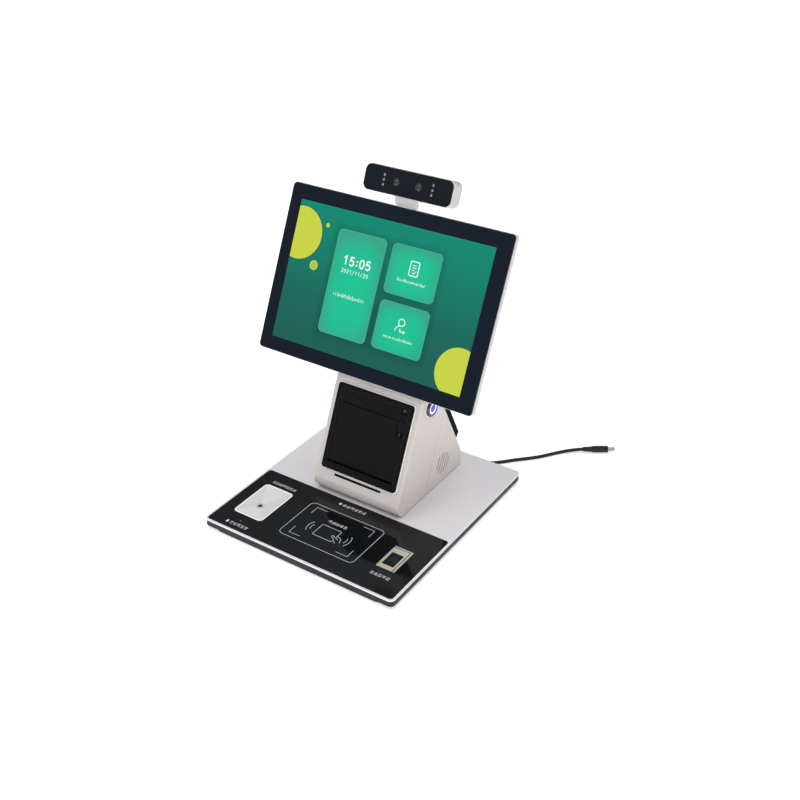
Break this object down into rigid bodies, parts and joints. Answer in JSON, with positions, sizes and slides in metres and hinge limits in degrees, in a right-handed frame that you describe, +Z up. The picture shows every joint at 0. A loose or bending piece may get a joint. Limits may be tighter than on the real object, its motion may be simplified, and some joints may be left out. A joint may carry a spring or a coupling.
{
  "type": "fingerprint scanner terminal",
  "caption": "Desktop visitor terminal: base with fingerprint reader, card pad and code scanner, printer pedestal, tilting touch display and camera bar",
  "frame": {"origin": "centre of the base's footprint, on the surface the feet stand on (the power cord left out)", "axes": "+Z up, +X to the right of someone facing the display, -Y towards that person"},
  "size_m": [0.3931, 0.4574, 0.4357],
  "materials": {
    "white_trim": "satin",
    "warm_white": "satin",
    "display_white": "satin",
    "tray_grey": "satin",
    "panel_black": "gloss",
    "printer_black": "fine texture",
    "cover_black": "matte",
    "screen_glass": "gloss",
    "camera_black": "gloss",
    "window_grey": "satin",
    "reader_silver": "satin",
    "reader_window": "gloss",
    "rubber": "matte",
    "cord_black": "satin",
    "steel": "brushed",
    "chrome": "polished",
    "circuit_green": "solder mask",
    "module_grey": "matte",
    "gear_white": "moulded",
    "brass": "machined",
    "roller_rubber": "ground",
    "paper": "thermal paper",
    "button_glow": "lit",
    "indicator": "clear",
    "lens_glass": "coated",
    "led_clear": "clear"
  },
  "bodies": {
    "terminal_base": {"rubber_feet": "rubber", "bottom_plate": "tray_grey", "bottom_screws": "steel", "base_tray": "tray_grey", "base_cover": "white_trim", "ballast_plate": "steel", "front_panel": "panel_black", "scanner_window": "window_grey", "scanner_window_rim": "white_trim", "scanner_module": "module_grey", "card_antenna_board": "circuit_green", "card_reader_module": "steel", "fingerprint_bezel": "reader_silver", "fingerprint_window": "reader_window", "fingerprint_module": "circuit_green", "microphone": "steel", "pedestal_casing": "warm_white", "rear_cover": "cover_black", "rear_cover_screws": "steel", "mainboard": "circuit_green", "io_ports": "steel", "speaker": "module_grey", "card_slot_bezel": "printer_black", "card_slot_reader": "module_grey", "power_button_bezel": "chrome", "power_button_ring": "button_glow", "printer_frame": "printer_black", "paper_bucket": "printer_black", "print_head": "steel", "gear_plate": "steel", "feed_motor": "steel", "printer_led": "indicator", "door_hinge_pins": "steel", "neck_column": "display_white", "cord_gland": "cord_black", "cord_inner_run": "cord_black", "cord_coil": "cord_black", "cord_tie": "rubber", "cord_outer_run": "cord_black", "dc_plug": "cord_black"},
    "display": {"hinge_shaft": "steel", "hinge_leaf": "steel", "display_casing": "display_white", "display_glass": "screen_glass", "lcd_panel": "module_grey", "display_board": "circuit_green", "camera_bracket": "display_white"},
    "camera": {"camera_casing": "display_white", "camera_face": "camera_black", "camera_lenses": "lens_glass", "camera_leds": "led_clear"},
    "door": {"printer_door": "printer_black"},
    "platen": {"platen_roller": "roller_rubber", "platen_gear": "gear_white"},
    "drive": {"drive_gear": "gear_white"},
    "pinion": {"motor_pinion": "brass"},
    "roll": {"paper_roll": "paper"},
    "latch": {"door_latch": "printer_black"},
    "feed": {"feed_button": "printer_black"},
    "power": {"power_button_cap": "chrome"}
  },
  "joints": [
    {"name": "display_tilt", "type": "hinge", "parent": "terminal_base", "child": "display", "pos_m": [0, 0.04621, 0.22851], "axis": [1, 0, 0], "range_deg": [-15, 15]},
    {"name": "camera_tilt", "type": "hinge", "parent": "display", "child": "camera", "pos_m": [0, 0.10474, 0.39455], "axis": [1, 0, 0], "range_deg": [-20, 20]},
    {"name": "printer_door_hinge", "type": "hinge", "parent": "terminal_base", "child": "door", "pos_m": [0, -0.00834, 0.06344], "axis": [1, 0, 0], "range_deg": [0, 75]},
    {"name": "platen_spin", "type": "hinge", "parent": "door", "child": "platen", "pos_m": [0, 0.026, 0.12582], "axis": [1, 0, 0], "continuous": true},
    {"name": "drive_gear_spin", "type": "hinge", "parent": "terminal_base", "child": "drive", "pos_m": [0, 0.04065, 0.11918], "axis": [1, 0, 0], "continuous": true},
    {"name": "motor_pinion_spin", "type": "hinge", "parent": "terminal_base", "child": "pinion", "pos_m": [0, 0.04663, 0.13237], "axis": [1, 0, 0], "continuous": true},
    {"name": "paper_roll_spin", "type": "hinge", "parent": "terminal_base", "child": "roll", "pos_m": [0, 0.03889, 0.07144], "axis": [1, 0, 0], "continuous": true},
    {"name": "door_latch_press", "type": "slide", "parent": "terminal_base", "child": "latch", "axis": [0, 0.9107, -0.4131], "range_m": [0, 0.002], "stiffness_N_per_m": 300, "springref_m": -0.001},
    {"name": "feed_button_press", "type": "slide", "parent": "terminal_base", "child": "feed", "axis": [0, 0.9107, -0.4131], "range_m": [0, 0.0012], "stiffness_N_per_m": 300, "springref_m": -0.0006},
    {"name": "power_button_press", "type": "slide", "parent": "terminal_base", "child": "power", "axis": [-1, 0, 0], "range_m": [0, 0.002], "stiffness_N_per_m": 300, "springref_m": -0.001}
  ],
  "couplings": [
    {"joint": "drive_gear_spin", "follows": "platen_spin", "ratio": -0.66667},
    {"joint": "motor_pinion_spin", "follows": "platen_spin", "ratio": 1.3333}
  ]
}
